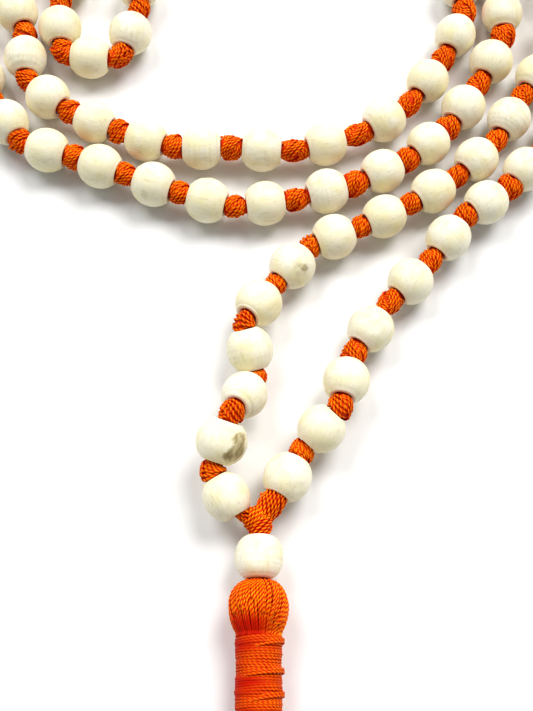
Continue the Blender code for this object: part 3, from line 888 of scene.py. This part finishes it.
def binding_thread(path, outward, rng, bands):
    """A turn of the binding: smooth and deep red with painted shade, in bands on one side, twisted and
    lighter on the other.
    """
    y = path[:, 1] / MM + LAYOUT_MIDDLE[1]
    left = 0.5 - 0.5 * unit(outward)[:, 0]
    # Painted shade: the left side, away from the stronger light, is darker red, and more so in the bands.
    red = 0.2 + 0.35 * left
    for place, width, strength in bands:
        red = red + strength * np.exp(-((y - place) / width) ** 2) * (0.25 + 0.75 * left)
    red = np.clip(red, 0, 0.95)
    twist = 0.85 - 0.8 * red
    return thread(
        path, outward, width=BINDING_THREAD, phase=rng.uniform(0, 6), depth=red, twist=twist, flat=0.5)


def build_binding():
    """One long thread wound round the neck, a little unevenly, with a few turns laid over the rest."""
    rng = np.random.default_rng(31)
    length = BINDING_TOP - BINDING_BOTTOM
    turns = int(length / BINDING_PITCH)
    angle = np.linspace(0, 2 * math.pi * turns, turns * 90)
    part = angle / angle[-1]
    tilt = 0.16 * np.sin(2 * math.pi * part * 3.1 + 0.6) + 0.12 * np.sin(2 * math.pi * part * 7.3)
    y = BINDING_TOP - 0.3 - part * (length - 0.6) + tilt * np.cos(angle - 0.5)
    y = np.clip(y, BINDING_BOTTOM + 0.25, BINDING_TOP + 0.2)
    swell = 0.1 * np.sin(2 * math.pi * part * 2.3 + 1) + 0.05 * np.sin(2 * math.pi * part * 9.0)
    swell += 0.04 * np.sin(angle * 1.37 + 0.4)
    radius = BINDING_RADIUS - BINDING_THREAD / 2 + swell * MM
    tubes = [binding_thread(*neck_path(y, radius, angle), rng, PAINTED_SHADE_BANDS)]
    for place, lean, start in OVERLAID_TURNS:
        for beside in (0.0, 0.5):
            over = np.linspace(start - 0.5 - beside, start + 2.2 + beside, 60)
            y = place - beside + lean * np.cos(over)
            ends = np.sin(np.linspace(0, math.pi, 60)) ** 0.4
            radius = BINDING_RADIUS + (0.16 * ends - 0.6 * (1 - ends)) * MM
            tubes.append(binding_thread(*neck_path(y, radius, over), rng, ()))
    # The sleeve under the binding turns, dark with painted shade.
    sleeve = [(0, 2.9 * MM), (0, 4.2 * MM), (length * MM, 4.2 * MM), (length * MM, 2.9 * MM)]
    tubes.append(turned(sleeve, 40, on_axis(BINDING_TOP), -Y))
    piece = joined("tassel_binding_threads", tubes, THREAD)
    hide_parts("tassel_binding")
    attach(piece, "tassel")


def build_skirt():
    """Cut threads that spread a little and settle on the table."""
    rng = np.random.default_rng(41)
    golden = math.pi * (3 - math.sqrt(5))
    t = np.linspace(0, 1, 26)
    tubes = []
    for number in range(SKIRT_STRANDS):
        share = math.sqrt((number + 0.5) / SKIRT_STRANDS)
        angle = golden * number
        wide, high = share * math.cos(angle), share * math.sin(angle)
        end = SKIRT_END + 1.0 + abs(rng.normal(0, 1.3))
        y = SKIRT_TOP + (end - SKIRT_TOP) * t
        spread = np.interp(y, SKIRT_PLACES, SKIRT_WIDE)
        thick = np.interp(y, SKIRT_PLACES, SKIRT_THICK)
        settle = np.clip((-84 - y) / 14, 0, 1)
        drop = settle * settle * (3 - 2 * settle)
        centre = AXIS_HEIGHT * (1 - drop) + (thick * MM * 1.02 + THREAD_WIDTH * 0.4) * drop
        wave = 0.35 * np.sin(2 * math.pi * (t * rng.uniform(1.2, 3.0) + rng.random())) * t
        wave_up = 0.25 * np.sin(2 * math.pi * (t * rng.uniform(1.2, 3.0) + rng.random())) * t
        x = on_axis(0)[0] + (spread * wide + wave) * MM
        z = centre + (thick * high + wave_up) * MM
        z = np.maximum(z, THREAD_WIDTH / 2)
        path = np.stack([x, (y - LAYOUT_MIDDLE[1]) * MM, z], -1)
        path = resampled(path, 0.42 * MM)
        outward = np.broadcast_to(np.array([math.cos(angle), 0.0, math.sin(angle)]), path.shape)
        # Painted shade: strands nearer the middle of the skirt are coloured deeper red.
        tubes.append(thread(path, outward, columns=6, phase=rng.uniform(0, 6), depth=0.35 * (1 - share)))
    piece = joined("tassel_skirt_threads", tubes, THREAD)
    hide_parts("tassel_skirt")
    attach(piece, "skirt")


def finish_inner_pieces():
    """The stopper knot and the core stay as the model has them, in thread."""
    for node in ("stopper_knot", "tassel_core"):
        shown = frame["nodes"][node]
        shown.data.materials.clear()
        shown.data.materials.append(THREAD)


# ---------------------------------------------------------------- stage

def build_camera():
    data = bpy.data.cameras.new("camera")
    data.lens = CAMERA_LENS
    data.sensor_width = CAMERA_SENSOR
    data.clip_start = 0.01
    camera = bpy.data.objects.new("camera", data)
    bpy.context.scene.collection.objects.link(camera)
    x, y, z = CAMERA_PLACE
    camera.location = ((x - LAYOUT_MIDDLE[0]) * MM, (y - LAYOUT_MIDDLE[1]) * MM, z * MM)
    camera.rotation_euler = (math.radians(CAMERA_TILT), 0, 0)
    bpy.context.scene.camera = camera


def sun(name, toward, softness, power, colour):
    """A soft far light: toward is the direction to it, softness its apparent size in degrees."""
    data = bpy.data.lights.new(name, "SUN")
    data.angle = math.radians(softness)
    data.energy = power
    data.color = colour
    light = bpy.data.objects.new(name, data)
    light.rotation_euler = Vector(toward).to_track_quat("Z", "Y").to_euler()
    bpy.context.scene.collection.objects.link(light)


def studio_world():
    """A dim pale surround for the light, which the camera sees as a bright backdrop."""
    made = bpy.data.worlds.new("studio")
    made.use_nodes = True
    tree = made.node_tree
    surround = tree.nodes["Background"]
    surround.inputs["Color"].default_value = (0.92, 0.97, 1.0, 1.0)
    surround.inputs["Strength"].default_value = 0.29
    backdrop = add(tree, "ShaderNodeBackground", {"Color": (0.80, 0.81, 0.82, 1.0), "Strength": 1.0})
    seen = add(tree, "ShaderNodeLightPath").outputs["Is Camera Ray"]
    both = add(tree, "ShaderNodeMixShader", {0: seen, 1: surround.outputs[0], 2: backdrop.outputs[0]})
    tree.links.new(both.outputs[0], tree.nodes["World Output"].inputs["Surface"])
    return made


def build_stage():
    bpy.ops.mesh.primitive_plane_add(size=6)
    floor = bpy.context.object
    floor.name = "floor"
    floor.location.z = BEAD_HEIGHT - BEAD_RADIUS
    floor.data.materials.append(floor_material())
    sun("key_right", (0.36, 0.45, 0.72), 34, 2.4, (1.0, 0.985, 0.965))
    sun("key_left", (-0.38, 0.42, 0.70), 34, 1.6, (1.0, 0.99, 0.98))
    bpy.context.scene.world = studio_world()
    bpy.context.scene.view_settings.view_transform = "Standard"
    bpy.context.scene.view_settings.look = "Medium High Contrast"


build_camera()
KNOTS = loop_knots()
build_cords(KNOTS)
build_beads(KNOTS)
build_knots(KNOTS)
build_yoke(KNOTS)
build_guru()
build_head()
build_binding()
build_skirt()
finish_inner_pieces()
build_stage()
